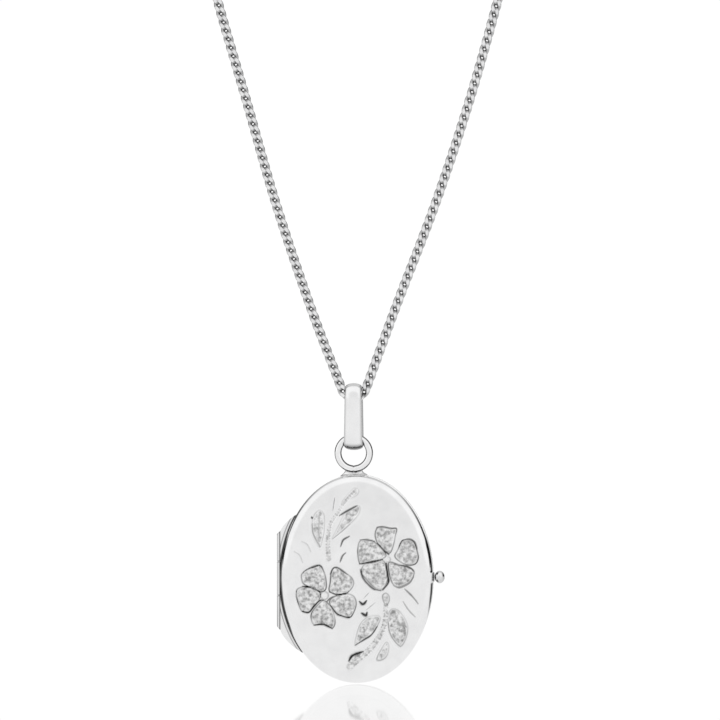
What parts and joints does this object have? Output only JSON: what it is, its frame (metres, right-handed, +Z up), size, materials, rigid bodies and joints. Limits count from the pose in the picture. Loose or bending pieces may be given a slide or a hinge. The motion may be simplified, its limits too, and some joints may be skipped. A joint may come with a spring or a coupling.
{
  "type": "oval locket on chain",
  "caption": "Oval hinged photo locket with engraved front, top ring, bail, thumb ball and a fine curb chain closed by a bolt-ring clasp.",
  "frame": {"origin": "the hang point: the centre of the bolt-ring clasp at the crown of the chain", "axes": "+Z up along the hanging chain, -Y towards the viewer of the engraved front, +X towards the thumb ball"},
  "size_m": [0.0386, 0.005, 0.1112],
  "materials": {
    "polished_silver": "polished",
    "chain_silver": "polished",
    "spring_steel": "satin",
    "clear_window": "gloss",
    "photo_card": "matte"
  },
  "bodies": {
    "chain": {"chain": "chain_silver", "clasp_ring": "polished_silver", "clasp_spring": "spring_steel", "clasp_jump_ring": "polished_silver", "chain_end_ring": "polished_silver"},
    "clasp_tongue": {"clasp_tongue": "polished_silver"},
    "bail": {"bail": "polished_silver"},
    "locket_back": {"back_cover": "polished_silver", "back_hinge_bearer": "polished_silver", "upper_knuckle": "polished_silver", "lower_knuckle": "polished_silver", "hinge_pin": "spring_steel", "catch_lip": "polished_silver", "top_ring": "polished_silver", "ring_foot": "polished_silver", "back_photo_frame": "polished_silver", "back_window": "clear_window", "back_photo_card": "photo_card"},
    "locket_front": {"front_cover": "polished_silver", "front_hinge_bearer": "polished_silver", "middle_knuckle": "polished_silver", "thumb_plate": "polished_silver", "thumb_ball": "polished_silver", "front_photo_frame": "polished_silver", "front_window": "clear_window", "front_photo_card": "photo_card"}
  },
  "joints": [
    {"name": "clasp_slide", "type": "hinge", "parent": "chain", "child": "clasp_tongue", "pos_m": [0, 0, 0], "axis": [0, -1, 0], "range_deg": [0, 50], "stiffness_Nm_per_rad": 0.0002, "springref_deg": -34.38, "deforming": ["clasp_spring"]},
    {"name": "bail_swing", "type": "hinge", "parent": "chain", "child": "bail", "pos_m": [-0.00045, 0, -0.07196], "axis": [1, 0, 0], "range_deg": [-50, 50]},
    {"name": "locket_swing", "type": "hinge", "parent": "bail", "child": "locket_back", "pos_m": [-0.00045, 0, -0.07929], "axis": [0, 1, 0], "range_deg": [-50, 50]},
    {"name": "locket_opening", "type": "hinge", "parent": "locket_back", "child": "locket_front", "pos_m": [-0.0096, -0.0004, -0.09495], "axis": [0, 0, -1], "range_deg": [0, 170]}
  ]
}
